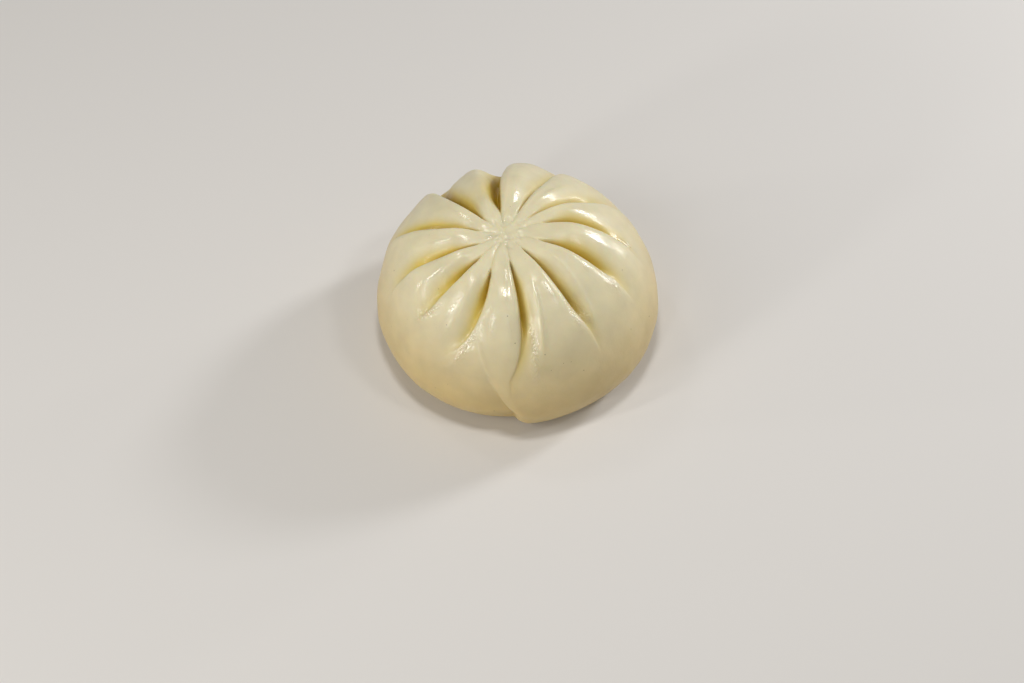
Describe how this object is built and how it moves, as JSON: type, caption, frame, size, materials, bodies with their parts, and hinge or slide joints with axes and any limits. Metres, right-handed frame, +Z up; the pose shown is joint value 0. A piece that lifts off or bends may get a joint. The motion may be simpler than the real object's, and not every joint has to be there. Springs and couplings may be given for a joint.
{
  "type": "steamed bun",
  "caption": "Round steamed bun of pale dough, a soft dome with pleats gathered into a sunken knot on top, resting on a flat base.",
  "frame": {"origin": "middle of the bun's box, at the flat base it rests on", "axes": "+Z is up through the pleated top, -Y is the front, with the last lap of dough low on that side, and +X is to the right seen from the front"},
  "size_m": [0.0908, 0.0914, 0.0524],
  "materials": {
    "dough": "satin"
  },
  "bodies": {
    "root": {"bun": "dough"}
  },
  "joints": []
}
